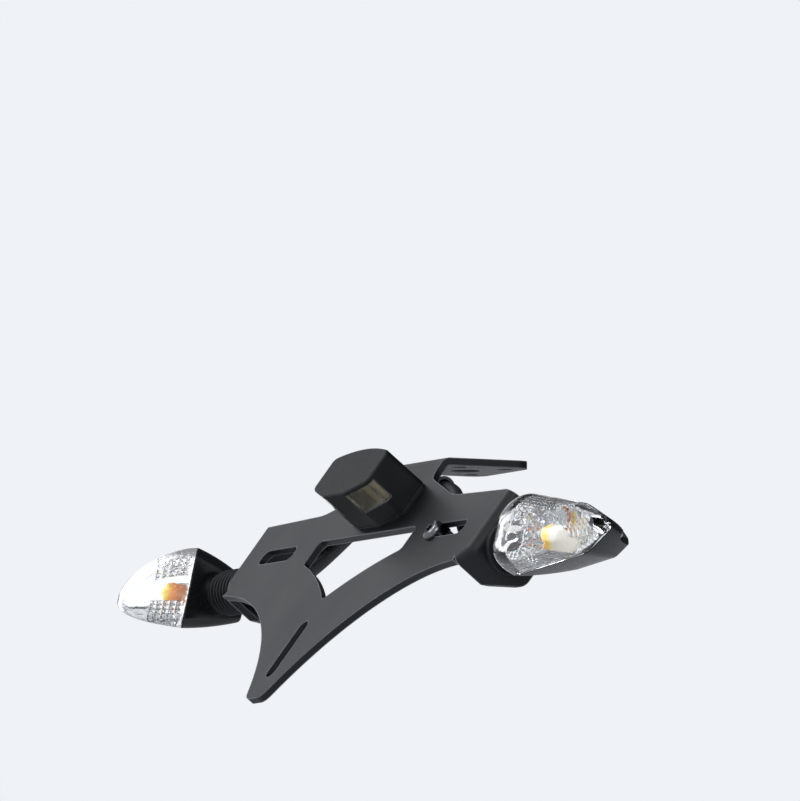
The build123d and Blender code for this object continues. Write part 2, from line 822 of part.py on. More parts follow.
bulb_profile = Plane(
    origin=lens_plane.from_local_coords((-bulb_in, -bulb_down, 0)), x_dir=outward, z_dir=-upward
)
bulb_axis = Axis(bulb_profile.origin, rearward)

with BuildPart() as indicator_bulb:
    with BuildSketch(bulb_profile):
        with BuildLine():
            cap = Polyline(
                (0, bulb_foot),
                (bulb_cap / 2, bulb_foot),
                (bulb_cap / 2, bulb_neck),
                (bulb_glass / 2, bulb_neck),
                (bulb_glass / 2, bulb_tip - bulb_glass / 2),
            )
            crown = JernArc(start=cap @ 1, tangent=(0, 1), radius=bulb_glass / 2, arc_size=90)
            Line(crown @ 1, cap @ 0)
        make_face()
    revolve(axis=bulb_axis)
keep_pair(indicator_bulb, "indicator_bulb")

with BuildPart() as bulb_holder:
    with BuildSketch(lens_plane.offset(bowl_back)):
        with Locations(bulb_spot):
            Circle(holder_lip / 2)
    extrude(amount=-holder_lip_thick)
    with BuildSketch(lens_plane.offset(bowl_back)):
        with Locations(bulb_spot):
            Circle(holder_across / 2)
    extrude(amount=bulb_foot - holder_floor - bowl_back)
    with BuildSketch(lens_plane.offset(bowl_back)):
        with Locations(bulb_spot):
            Circle(bulb_cap / 2 + hole_gap)
    extrude(amount=bulb_foot - bowl_back, mode=Mode.SUBTRACT)
keep_pair(bulb_holder, "bulb_holder")

# Leads from the studs to the connector behind the neck, in a plane that leans a little more than the plate
lead_start = wing_half + stud_end
lead_rise = hypot(lead_up - stem_up, stem_back - lead_back)
lead_lean = lean + degrees(atan2(stem_back - lead_back, lead_up - stem_up))
lead_plane = leaning(plate.from_local_coords((0, stem_up, -stem_back)), lead_lean)
lead_route = (
    (lead_start, 0),
    (78, 0),
    (66, 5),
    (53, 14.5),
    (39, 25.5),
    (25, lead_rise),
    (connector_half, lead_rise),
)


def bend_radii(route):
    """The largest radii that a route's runs leave room for."""
    radii = []
    for before, here, after in zip(route, route[1:], route[2:]):
        arriving = Vector(*here) - Vector(*before)
        leaving = Vector(*after) - Vector(*here)
        shorter = min(arriving.length, leaving.length)
        radii.append(lead_arc_share * shorter / tan(radians(arriving.get_angle(leaving) / 2)))
    return radii


with BuildPart() as lead_piece:
    with BuildLine() as lead_line:
        FilletPolyline(*lead_route, radius=bend_radii(lead_route))
    with BuildSketch(Plane(origin=lead_plane.from_local_coords((lead_start, 0, 0)), z_dir=(-1, 0, 0))):
        Circle(lead / 2)
    sweep(path=lead_plane.from_local_coords(lead_line.line))
keep_pair(lead_piece, "lead")
lead_length = sum(run.length for run in lead_line.edges())
print("lead radii", [round(radius, 1) for radius in bend_radii(lead_route)])
lead_share = lead_piece.part.volume / (pi * (lead / 2) ** 2 * lead_length)
print("lead length", round(lead_length, 1), "volume over section times length", round(lead_share, 4))

with BuildPart() as lead_connector:
    with BuildSketch(plate.offset(-sheet)):
        with Locations((0, lead_up)):
            Rectangle(2 * connector_half, connector_high)
    extrude(amount=-2 * (lead_back - sheet))
    fillet(lead_connector.edges().filter_by(Axis.X), radius=connector_round)
keep(lead_connector, "lead_connector")
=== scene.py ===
"""Looks for a tail tidy: finishes for its solids, its two leads, its cut reflectors and a small studio.

Everything is in metres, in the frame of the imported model: +X is the right-hand side as seen from behind,
+Y is forward and +Z is up, with the origin at the centre of the four mounting holes.
"""

from math import cos, radians, sin

import bpy
from mathutils import Matrix, Vector


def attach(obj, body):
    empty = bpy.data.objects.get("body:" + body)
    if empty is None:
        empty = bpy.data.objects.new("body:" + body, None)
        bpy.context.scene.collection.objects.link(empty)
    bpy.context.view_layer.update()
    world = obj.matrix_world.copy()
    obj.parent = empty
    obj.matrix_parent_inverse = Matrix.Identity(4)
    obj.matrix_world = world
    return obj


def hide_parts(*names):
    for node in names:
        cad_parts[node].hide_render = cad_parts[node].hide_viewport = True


bl_info = {
    "name": "Tail tidy looks",
    "version": (1, 0, 0),
    "blender": (4, 5, 0),
    "location": "3D View > Sidebar > Tail tidy",
    "description": "Finishes, leads and cut reflectors for a tail tidy, and a studio to see them in",
    "category": "Object",
}

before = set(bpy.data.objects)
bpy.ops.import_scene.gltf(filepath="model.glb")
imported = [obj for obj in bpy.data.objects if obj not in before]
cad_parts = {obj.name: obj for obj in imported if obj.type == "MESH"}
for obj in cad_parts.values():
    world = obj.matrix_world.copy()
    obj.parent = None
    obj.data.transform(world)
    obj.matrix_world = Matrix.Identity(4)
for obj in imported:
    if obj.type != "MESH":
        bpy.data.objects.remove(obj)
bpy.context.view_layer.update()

MM = 0.001
SIDES = ("right", "left")

# The right indicator's lens plane, as the solids are placed, in millimetres and degrees
STEM_END = Vector((136.1, -34.46, -41.84))
LENS_SWEEP = 27.3
LENS_TIP_BACK = 13.0
LENS_STAND = 14.1
LENS_OUT = 16.3
LENS_RISE = -0.5

# The rim's corners in the lens plane, in millimetres, with how much each is cut back
RIM_CORNERS = ((-22.0, -18.0), (12.5, -6.0), (23.5, 6.5), (8.0, 13.6), (-22.0, 16.3))
CORNER_CUTS = (2.6, 1.2, 5.0, 1.4, 3.0)
REFLECTOR_SHARE = 0.86
REFLECTOR_FACE = 0.8
REFLECTOR_DEEP = 6.8
REFLECTOR_WALL = 0.6
REFLECTOR_GRID = 54
BOWL_CENTRE = Vector((-2.8, -1.0))
BOWL_SHARPNESS = 5
BULB_SPOT = (-1.0, -1.0)
BULB_HOLE = 8.6
DRILL_DEEP = 40.0
DRILL_SIDES = 48
FACET_TURN = 45

# Where painted light pales the bulbs' lacquer, outward and towards the tip, in millimetres from the bulb's
# foot:
# the painted-shade end, the painted-light end, and how pale it gets there
BULB_LIGHT_ACROSS = (-3.0, 3.5, 1.0)
BULB_LIGHT_ALONG = (2.0, 9.5, 0.62)

# The prisms inside a lens: the dome's law, the two bands' paths round the rim, and their height
DOME_HEIGHT = 25.0
DOME_SHARE = 0.85
DOME_FLARE = 1.8
DOME_LEAN = Vector((-4.0, -8.0))
DOME_LEAN_EASE = 1.3
PRISM_PATHS = (
    ((4.0, 14.0), (-22.0, 16.3), (-22.0, 5.0)),
    ((-22.0, -7.0), (-22.0, -18.0), (9.0, -7.2)),
)
PRISM_BEND = 8.0
PRISM_BEND_STEPS = 8
PRISM_FOOT = 1.3
PRISM_HEAD = 13.5
PRISM_WALL = 0.4

# The right lead's route from its stud to the connector, in millimetres
LEAD_ROUTE = (
    (90.5, -34.46, -41.84),
    (78.0, -34.46, -41.84),
    (66.0, -32.19, -37.38),
    (53.0, -28.11, -29.36),
    (39.0, -22.89, -19.11),
    (25.0, -19.05, -11.57),
    (8.0, -19.05, -11.57),
)


def linear(code):
    """Linear RGB of an sRGB hex colour."""
    parts = [int(code[at : at + 2], 16) / 255 for at in (1, 3, 5)]
    return tuple(p / 12.92 if p <= 0.04045 else ((p + 0.055) / 1.055) ** 2.4 for p in parts)


def opaque(colour):
    """A colour with a full alpha, as node sockets take it."""
    return (*colour[:3], 1.0)


def per_mm(size):
    """Texture scale for a pattern whose features measure so many millimetres."""
    return 1 / (size * MM)


COLOUR = {"subtype": "COLOR", "size": 3, "min": 0, "max": 1}


class TidyFinishes(bpy.types.PropertyGroup):
    """Colours of the tidy's materials."""

    coat: bpy.props.FloatVectorProperty(
        name="Powder coat",
        description="Colour of the bracket's coating",
        **COLOUR,
        default=linear("#111518"),
    )
    housing: bpy.props.FloatVectorProperty(
        name="Lamp housing",
        description="Colour of the plate lamp's grained moulding",
        **COLOUR,
        default=linear("#101112"),
    )
    shell: bpy.props.FloatVectorProperty(
        name="Indicator shells",
        description="Colour of the indicators' smooth moulding",
        **COLOUR,
        default=linear("#111214"),
    )
    rubber: bpy.props.FloatVectorProperty(
        name="Rubber",
        description="Colour of the stems and gaskets",
        **COLOUR,
        default=linear("#101112"),
    )
    bulb: bpy.props.FloatVectorProperty(
        name="Indicator bulbs",
        description="Colour of the bulbs' lacquer",
        **COLOUR,
        default=linear("#f28a1c"),
    )
    # Painted light: the yellow that the bulbs are painted towards the tip and outer side
    bulb_lit: bpy.props.FloatVectorProperty(
        name="Indicator bulbs, thin",
        description="Colour where the bulbs' lacquer is thin",
        **COLOUR,
        default=linear("#ffdf3c"),
    )
    lead: bpy.props.FloatVectorProperty(
        name="Leads",
        description="Colour of the leads' sleeves",
        **COLOUR,
        default=linear("#191b1b"),
    )


class TidySizes(bpy.types.PropertyGroup):
    """Sizes of the pieces that are modelled here."""

    lead: bpy.props.FloatProperty(
        name="Lead",
        description="Outside diameter of a lead",
        default=6 * MM,
        min=1 * MM,
        unit="LENGTH",
    )
    facet: bpy.props.FloatProperty(
        name="Facet",
        description="Width of one cut of the reflectors",
        default=1.8 * MM,
        min=1 * MM,
        unit="LENGTH",
    )
    facet_rise: bpy.props.FloatProperty(
        name="Facet rise",
        description="Height of one cut of the reflectors",
        default=0.6 * MM,
        min=0,
        unit="LENGTH",
    )
    prism: bpy.props.FloatProperty(
        name="Prism",
        description="Width of one prism inside the lenses",
        default=2.4 * MM,
        min=1 * MM,
        unit="LENGTH",
    )
    prism_rise: bpy.props.FloatProperty(
        name="Prism rise",
        description="Height of one prism inside the lenses",
        default=1.5 * MM,
        min=0,
        unit="LENGTH",
    )


class TidyStudio(bpy.types.PropertyGroup):
    """The studio's colours, levels and distances."""

    backdrop: bpy.props.FloatVectorProperty(
        name="Backdrop",
        description="Colour behind the object and in its reflections",
        **COLOUR,
        default=linear("#eff2f6"),
    )
    floor_drop: bpy.props.FloatProperty(
        name="Floor drop",
        description="How far the floor lies under the mounting holes",
        default=0.6,
        min=0.2,
        unit="LENGTH",
    )
    ambient: bpy.props.FloatProperty(
        name="Ambient",
        description="Strength of the light from all round",
        default=0.55,
        min=0,
    )
    key: bpy.props.FloatProperty(
        name="Key light",
        description="Power of the large soft lamp",
        default=60,
        min=0,
        unit="POWER",
    )
    distance: bpy.props.FloatProperty(
        name="Camera distance",
        description="How far the camera stands from the object",
        default=12,
        min=1,
        unit="LENGTH",
    )


def add(tree, kind, sockets=None, **settings):
    """Add a node: settings are its own properties, and sockets are values, or outputs to link from."""
    made = tree.nodes.new(kind)
    for name, value in settings.items():
        setattr(made, name, value)
    for name, value in (sockets or {}).items():
        if isinstance(value, bpy.types.NodeSocket):
            tree.links.new(value, made.inputs[name])
        else:
            made.inputs[name].default_value = value
    return made


def start(name):
    """A new material's node tree, its Object coordinates, and the material."""
    material = bpy.data.materials.new(name)
    material.use_nodes = True
    tree = material.node_tree
    tree.nodes.clear()
    return tree, add(tree, "ShaderNodeTexCoord").outputs["Object"], material


def close(tree, shader):
    """Link a shader to the material's output."""
    add(tree, "ShaderNodeOutputMaterial", {"Surface": shader.outputs["BSDF"]})


def shade(colour, factor):
    """A colour made darker or lighter."""
    return opaque([min(1, part * factor) for part in colour])


# How far the softened normal leans from the flat one, as a cosine, where the painted edge highlight begins
# and is full
ARRIS_BEGINS = 0.99
ARRIS_FULL = 0.8
EDGE_SAMPLES = 4


def lit_arrises(tree, colour, wear_and_highlight, radius):
    """Soften the edges of a surface, and paint a highlight into its colour along them; gives a normal and a
    colour.
    """
    soft = add(tree, "ShaderNodeBevel", {"Radius": radius * MM}, samples=EDGE_SAMPLES)
    flat = add(tree, "ShaderNodeNewGeometry")
    level = add(
        tree,
        "ShaderNodeVectorMath",
        {0: soft.outputs[0], 1: flat.outputs["Normal"]},
        operation="DOT_PRODUCT",
    )
    edge = add(
        tree,
        "ShaderNodeMapRange",
        {"Value": level.outputs["Value"], "From Min": ARRIS_BEGINS, "From Max": ARRIS_FULL},
    )
    # The mixed colour's sockets are found by number: the factor, the surface and the painted edge highlight
    mixed = add(
        tree,
        "ShaderNodeMix",
        {0: edge.outputs["Result"], 6: colour, 7: opaque(linear(wear_and_highlight))},
        data_type="RGBA",
    )
    return soft.outputs[0], mixed.outputs[2]


def powder_coated_steel(finishes):
    """Satin black powder coat on sheet steel: a faint orange peel, and a painted highlight along the edges.
    """
    tree, place, material = start("powder_coated_steel")
    peel = add(tree, "ShaderNodeTexNoise", {"Vector": place, "Scale": per_mm(2.4), "Detail": 3.0})
    # The grit of a satin powder is about 0.1 mm; it is drawn at 0.5 mm so that it shows
    grit = add(tree, "ShaderNodeTexNoise", {"Vector": place, "Scale": per_mm(0.5), "Detail": 2.0})
    film = add(tree, "ShaderNodeTexNoise", {"Vector": place, "Scale": per_mm(45), "Detail": 6.0})
    tint = add(tree, "ShaderNodeValToRGB", {"Fac": film.outputs["Fac"]})
    tint.color_ramp.elements[0].position = 0.3
    tint.color_ramp.elements[0].color = shade(finishes.coat, 0.8)
    tint.color_ramp.elements[1].position = 0.75
    tint.color_ramp.elements[1].color = shade(finishes.coat, 1.35)
    satin = add(
        tree,
        "ShaderNodeMapRange",
        {"Value": film.outputs["Fac"], "From Min": 0.3, "From Max": 0.7, "To Min": 0.4, "To Max": 0.5},
    )
    # The painted highlight along an arris is drawn 0.8 mm wide, where a real arris is about 0.2 mm, so that
    # it shows
    soft, coat = lit_arrises(tree, tint.outputs["Color"], "#a3a7aa", 0.8)
    wave = add(
        tree,
        "ShaderNodeBump",
        {"Height": peel.outputs["Fac"], "Strength": 0.25, "Distance": 0.05 * MM, "Normal": soft},
    )
    fine = add(
        tree,
        "ShaderNodeBump",
        {"Height": grit.outputs["Fac"], "Strength": 0.2, "Distance": 0.03 * MM, "Normal": wave.outputs[0]},
    )
    shader = add(
        tree,
        "ShaderNodeBsdfPrincipled",
        {
            "Base Color": coat,
            "Roughness": satin.outputs["Result"],
            "Normal": fine.outputs[0],
            "IOR": 1.52,
            "Specular IOR Level": 0.3,
        },
    )
    close(tree, shader)
    return material


def grained_abs(finishes):
    """ABS from a spark-eroded mould: a dull, even grain that greys where light falls along it, and a
    painted highlight along its edges.
    """
    tree, place, material = start("grained_abs")
    # Spark grain is about 0.15 mm; it is drawn at 0.45 mm so that it shows
    grain = add(tree, "ShaderNodeTexVoronoi", {"Vector": place, "Scale": per_mm(0.45)}, feature="SMOOTH_F1")
    bloom = add(tree, "ShaderNodeTexNoise", {"Vector": place, "Scale": per_mm(9), "Detail": 5.0})
    tint = add(tree, "ShaderNodeValToRGB", {"Fac": bloom.outputs["Fac"]})
    tint.color_ramp.elements[0].position = 0.35
    tint.color_ramp.elements[0].color = shade(finishes.housing, 0.85)
    tint.color_ramp.elements[1].position = 0.7
    tint.color_ramp.elements[1].color = shade(finishes.housing, 1.5)
    dull = add(
        tree,
        "ShaderNodeMapRange",
        {"Value": grain.outputs["Distance"], "From Max": 0.8, "To Min": 0.48, "To Max": 0.62},
    )
    # The painted highlight along an arris is drawn 0.7 mm wide, where a moulded arris is about 0.2 mm, so
    # that it shows
    soft, skin = lit_arrises(tree, tint.outputs["Color"], "#7c7f82", 0.7)
    rough = add(
        tree,
        "ShaderNodeBump",
        {"Height": grain.outputs["Distance"], "Strength": 0.5, "Distance": 0.06 * MM, "Normal": soft},
    )
    shader = add(
        tree,
        "ShaderNodeBsdfPrincipled",
        {
            "Base Color": skin,
            "Roughness": dull.outputs["Result"],
            "Normal": rough.outputs[0],
            "IOR": 1.53,
            "Specular IOR Level": 0.2,
        },
    )
    close(tree, shader)
    return material


def smooth_abs(finishes):
    """ABS from a polished mould: near black and glossy, with the slow ripple of a thin wall."""
    tree, place, material = start("smooth_abs")
    sink = add(tree, "ShaderNodeTexNoise", {"Vector": place, "Scale": per_mm(11), "Detail": 2.0})
    scuff = add(tree, "ShaderNodeTexNoise", {"Vector": place, "Scale": per_mm(1.6), "Detail": 6.0})
    tint = add(tree, "ShaderNodeValToRGB", {"Fac": scuff.outputs["Fac"]})
    tint.color_ramp.elements[0].color = shade(finishes.shell, 0.9)
    tint.color_ramp.elements[1].color = shade(finishes.shell, 1.4)
    gloss = add(
        tree,
        "ShaderNodeMapRange",
        {"Value": scuff.outputs["Fac"], "From Min": 0.35, "From Max": 0.7, "To Min": 0.2, "To Max": 0.3},
    )
    ripple = add(
        tree, "ShaderNodeBump", {"Height": sink.outputs["Fac"], "Strength": 0.15, "Distance": 0.2 * MM}
    )
    shader = add(
        tree,
        "ShaderNodeBsdfPrincipled",
        {
            "Base Color": tint.outputs["Color"],
            "Roughness": gloss.outputs["Result"],
            "Normal": ripple.outputs[0],
            "IOR": 1.53,
        },
    )
    close(tree, shader)
    return material


def clear_polycarbonate():
    """Moulded clear polycarbonate: glass-clear and glossy, with faint flow lines."""
    tree, place, material = start("clear_polycarbonate")
    flow = add(tree, "ShaderNodeTexNoise", {"Vector": place, "Scale": per_mm(5), "Detail": 2.0})
    haze = add(
        tree,
        "ShaderNodeMapRange",
        {"Value": flow.outputs["Fac"], "From Min": 0.3, "From Max": 0.7, "To Min": 0.01, "To Max": 0.05},
    )
    ripple = add(
        tree, "ShaderNodeBump", {"Height": flow.outputs["Fac"], "Strength": 0.3, "Distance": 0.4 * MM}
    )
    shader = add(
        tree,
        "ShaderNodeBsdfPrincipled",
        {
            "Base Color": opaque(linear("#fafbfc")),
            "Roughness": haze.outputs["Result"],
            "Normal": ripple.outputs[0],
            "IOR": 1.585,
            "Transmission Weight": 1.0,
        },
    )
    close(tree, shader)
    return material


def hazed_polycarbonate():
    """Polycarbonate that the weather has hazed and yellowed a little."""
    tree, place, material = start("hazed_polycarbonate")
    # The pits are about 0.05 mm; they are drawn at 0.5 mm so that they show
    pits = add(tree, "ShaderNodeTexNoise", {"Vector": place, "Scale": per_mm(0.5), "Detail": 3.0})
    tint = add(tree, "ShaderNodeValToRGB", {"Fac": pits.outputs["Fac"]})
    tint.color_ramp.elements[0].color = opaque(linear("#d9d3ba"))
    tint.color_ramp.elements[1].color = opaque(linear("#f4f0e2"))
    haze = add(
        tree,
        "ShaderNodeMapRange",
        {"Value": pits.outputs["Fac"], "From Min": 0.3, "From Max": 0.7, "To Min": 0.06, "To Max": 0.18},
    )
    shader = add(
        tree,
        "ShaderNodeBsdfPrincipled",
        {
            "Base Color": tint.outputs["Color"],
            "Roughness": haze.outputs["Result"],
            "IOR": 1.585,
            "Transmission Weight": 0.95,
        },
    )
    close(tree, shader)
    return material


def cream_abs():
    """Cream ABS, satin, for a reflector that isn't plated."""
    tree, place, material = start("cream_abs")
    bloom = add(tree, "ShaderNodeTexNoise", {"Vector": place, "Scale": per_mm(3), "Detail": 4.0})
    tint = add(tree, "ShaderNodeValToRGB", {"Fac": bloom.outputs["Fac"]})
    tint.color_ramp.elements[0].color = opaque(linear("#d3cbb0"))
    tint.color_ramp.elements[1].color = opaque(linear("#efe8d2"))
    shader = add(
        tree,
        "ShaderNodeBsdfPrincipled",
        {"Base Color": tint.outputs["Color"], "Roughness": 0.3, "IOR": 1.53},
    )
    close(tree, shader)
    return material


def metallised_abs():
    """Aluminium evaporated on moulded ABS: a bright mirror with a little haze."""
    tree, place, material = start("metallised_abs")
    haze = add(tree, "ShaderNodeTexNoise", {"Vector": place, "Scale": per_mm(3), "Detail": 4.0})
    tint = add(tree, "ShaderNodeValToRGB", {"Fac": haze.outputs["Fac"]})
    tint.color_ramp.elements[0].color = opaque(linear("#dcdee0"))
    tint.color_ramp.elements[1].color = opaque(linear("#f4f4f3"))
    mist = add(
        tree,
        "ShaderNodeMapRange",
        {"Value": haze.outputs["Fac"], "From Min": 0.3, "From Max": 0.7, "To Min": 0.06, "To Max": 0.16},
    )
    shader = add(
        tree,
        "ShaderNodeBsdfPrincipled",
        {"Base Color": tint.outputs["Color"], "Roughness": mist.outputs["Result"], "Metallic": 1.0},
    )
    close(tree, shader)
    return material


def lacquered_bulb(finishes):
    """Bulb glass dipped in amber lacquer: orange, with painted shade at the foot, painted light that turns
    it yellow and pale towards the tip and outer side, and a painted glow.
    """
    tree, place, material = start("amber_lacquered_glass")
    # Both bulbs share the finish, so it is read on the right-hand side of the object
    split = add(tree, "ShaderNodeSeparateXYZ", {"Vector": place})
    outward = add(tree, "ShaderNodeMath", {0: split.outputs["X"]}, operation="ABSOLUTE")
    folded = add(
        tree,
        "ShaderNodeCombineXYZ",
        {"X": outward.outputs[0], "Y": split.outputs["Y"], "Z": split.outputs["Z"]},
    )
    foot = lens_placement() @ (Vector((*BULB_SPOT, 0)) * MM)
    # Shares of painted light, outward and towards the tip
    thin = []
    for column, (shaded_end, lit_end, most) in ((0, BULB_LIGHT_ACROSS), (2, BULB_LIGHT_ALONG)):
        axis = lens_placement().col[column].to_3d()
        reach = add(tree, "ShaderNodeVectorMath", {0: folded.outputs[0], 1: axis}, operation="DOT_PRODUCT")
        share = add(
            tree,
            "ShaderNodeMapRange",
            {
                "Value": reach.outputs["Value"],
                "From Min": axis.dot(foot) + shaded_end * MM,
                "From Max": axis.dot(foot) + lit_end * MM,
                "To Max": most,
            },
        )
        thin.append(share.outputs["Result"])
    lit_share = add(tree, "ShaderNodeMath", {0: thin[0], 1: thin[1], 2: 0.3}, operation="SMOOTH_MAX")
    run = add(tree, "ShaderNodeTexNoise", {"Vector": place, "Scale": per_mm(2.5), "Detail": 3.0})
    streaky = add(
        tree,
        "ShaderNodeMath",
        {0: run.outputs["Fac"], 1: 0.2, 2: lit_share.outputs[0]},
        operation="MULTIPLY_ADD",
    )
    tint = add(tree, "ShaderNodeValToRGB", {"Fac": streaky.outputs[0]})
    # The darker orange at the foot is painted shade; the yellow and near-white stops towards the tip are
    # painted light
    tint.color_ramp.elements[0].position = 0.2
    tint.color_ramp.elements[0].color = shade(finishes.bulb, 0.6)
    tint.color_ramp.elements.new(0.45).color = opaque(finishes.bulb)
    tint.color_ramp.elements.new(0.7).color = opaque(finishes.bulb_lit)
    tint.color_ramp.elements[3].position = 0.85
    tint.color_ramp.elements[3].color = opaque(linear("#f5efe2"))
    shader = add(
        tree,
        "ShaderNodeBsdfPrincipled",
        {
            "Base Color": tint.outputs["Color"],
            "Roughness": 0.12,
            "IOR": 1.5,
            "Coat Weight": 0.6,
            "Subsurface Weight": 0.3,
            "Subsurface Radius": (0.004, 0.002, 0.001),
            "Subsurface Scale": 1.0,
            # A painted glow in the bulb's own colours, standing in for daylight through the glass; the bulb
            # is unlit
            "Emission Color": tint.outputs["Color"],
            "Emission Strength": 0.4,
        },
    )
    close(tree, shader)
    return material


def festoon_glass():
    """A small festoon bulb: slightly smoked clear glass."""
    tree, place, material = start("festoon_glass")
    smoke = add(tree, "ShaderNodeTexNoise", {"Vector": place, "Scale": per_mm(4), "Detail": 3.0})
    tint = add(tree, "ShaderNodeValToRGB", {"Fac": smoke.outputs["Fac"]})
    tint.color_ramp.elements[0].color = opaque(linear("#d8d2c2"))
    tint.color_ramp.elements[1].color = opaque(linear("#f7f3e8"))
    shader = add(
        tree,
        "ShaderNodeBsdfPrincipled",
        {"Base Color": tint.outputs["Color"], "Roughness": 0.08, "IOR": 1.5, "Transmission Weight": 0.6},
    )
    close(tree, shader)
    return material


def moulded_rubber(finishes):
    """Moulded rubber: dull black with a dry bloom on it."""
    tree, place, material = start("moulded_rubber")
    bloom = add(tree, "ShaderNodeTexNoise", {"Vector": place, "Scale": per_mm(6), "Detail": 7.0})
    # The skin's own texture is about 0.1 mm; it is drawn at 0.6 mm so that it shows
    skin = add(tree, "ShaderNodeTexNoise", {"Vector": place, "Scale": per_mm(0.6), "Detail": 2.0})
    tint = add(tree, "ShaderNodeValToRGB", {"Fac": bloom.outputs["Fac"]})
    tint.color_ramp.elements[0].position = 0.35
    tint.color_ramp.elements[0].color = shade(finishes.rubber, 0.8)
    tint.color_ramp.elements[1].position = 0.75
    tint.color_ramp.elements[1].color = shade(finishes.rubber, 1.9)
    dry = add(
        tree,
        "ShaderNodeMapRange",
        {"Value": bloom.outputs["Fac"], "From Min": 0.3, "From Max": 0.7, "To Min": 0.55, "To Max": 0.75},
    )
    bump = add(
        tree, "ShaderNodeBump", {"Height": skin.outputs["Fac"], "Strength": 0.3, "Distance": 0.05 * MM}
    )
    shader = add(
        tree,
        "ShaderNodeBsdfPrincipled",
        {
            "Base Color": tint.outputs["Color"],
            "Roughness": dry.outputs["Result"],
            "Normal": bump.outputs[0],
            "IOR": 1.52,
            "Specular IOR Level": 0.3,
        },
    )
    close(tree, shader)
    return material


def zinc_plated_steel():
    """Bright zinc on steel: a cool silver with soft clouding."""
    tree, place, material = start("zinc_plated_steel")
    cloud = add(tree, "ShaderNodeTexNoise", {"Vector": place, "Scale": per_mm(1.5), "Detail": 5.0})
    tint = add(tree, "ShaderNodeValToRGB", {"Fac": cloud.outputs["Fac"]})
    tint.color_ramp.elements[0].position = 0.3
    tint.color_ramp.elements[0].color = opaque(linear("#a9adb1"))
    tint.color_ramp.elements[1].position = 0.7
    tint.color_ramp.elements[1].color = opaque(linear("#d6d8d8"))
    satin = add(
        tree,
        "ShaderNodeMapRange",
        {"Value": cloud.outputs["Fac"], "From Min": 0.3, "From Max": 0.7, "To Min": 0.2, "To Max": 0.36},
    )
    soft = add(tree, "ShaderNodeBevel", {"Radius": 0.2 * MM}, samples=EDGE_SAMPLES)
    shader = add(
        tree,
        "ShaderNodeBsdfPrincipled",
        {
            "Base Color": tint.outputs["Color"],
            "Roughness": satin.outputs["Result"],
            "Normal": soft.outputs[0],
            "Metallic": 1.0,
        },
    )
    close(tree, shader)
    return material


def blackened_steel():
    """Steel blackened in a bath: dark grey, smooth, with bright glints where it is turned."""
    tree, place, material = start("blackened_steel")
    cloud = add(tree, "ShaderNodeTexNoise", {"Vector": place, "Scale": per_mm(1.2), "Detail": 5.0})
    tint = add(tree, "ShaderNodeValToRGB", {"Fac": cloud.outputs["Fac"]})
    tint.color_ramp.elements[0].position = 0.3
    tint.color_ramp.elements[0].color = opaque(linear("#4d5052"))
    tint.color_ramp.elements[1].position = 0.7
    tint.color_ramp.elements[1].color = opaque(linear("#7d8083"))
    satin = add(
        tree,
        "ShaderNodeMapRange",
        {"Value": cloud.outputs["Fac"], "From Min": 0.3, "From Max": 0.7, "To Min": 0.16, "To Max": 0.3},
    )
    soft = add(tree, "ShaderNodeBevel", {"Radius": 0.25 * MM}, samples=EDGE_SAMPLES)
    shader = add(
        tree,
        "ShaderNodeBsdfPrincipled",
        {
            "Base Color": tint.outputs["Color"],
            "Roughness": satin.outputs["Result"],
            "Normal": soft.outputs[0],
            "Metallic": 1.0,
        },
    )
    close(tree, shader)
    return material


def spring_brass():
    """Rolled spring brass: warm, and faintly streaked."""
    tree, place, material = start("spring_brass")
    streak = add(tree, "ShaderNodeTexNoise", {"Vector": place, "Scale": per_mm(1), "Detail": 4.0})
    tint = add(tree, "ShaderNodeValToRGB", {"Fac": streak.outputs["Fac"]})
    tint.color_ramp.elements[0].color = opaque(linear("#a98a45"))
    tint.color_ramp.elements[1].color = opaque(linear("#d9bd77"))
    shader = add(
        tree,
        "ShaderNodeBsdfPrincipled",
        {"Base Color": tint.outputs["Color"], "Roughness": 0.3, "Metallic": 1.0},
    )
    close(tree, shader)
    return material


def moulded_nylon():
    """Black moulded nylon: a waxy, slightly mottled skin."""
    tree, place, material = start("moulded_nylon")
    mottle = add(tree, "ShaderNodeTexNoise", {"Vector": place, "Scale": per_mm(2), "Detail": 5.0})
    tint = add(tree, "ShaderNodeValToRGB", {"Fac": mottle.outputs["Fac"]})
    tint.color_ramp.elements[0].color = opaque(linear("#1f2021"))
    tint.color_ramp.elements[1].color = opaque(linear("#343536"))
    waxy = add(
        tree,
        "ShaderNodeMapRange",
        {"Value": mottle.outputs["Fac"], "From Min": 0.3, "From Max": 0.7, "To Min": 0.38, "To Max": 0.52},
    )
    soft = add(tree, "ShaderNodeBevel", {"Radius": 0.4 * MM}, samples=EDGE_SAMPLES)
    shader = add(
        tree,
        "ShaderNodeBsdfPrincipled",
        {
            "Base Color": tint.outputs["Color"],
            "Roughness": waxy.outputs["Result"],
            "Normal": soft.outputs[0],
            "IOR": 1.53,
        },
    )
    close(tree, shader)
    return material


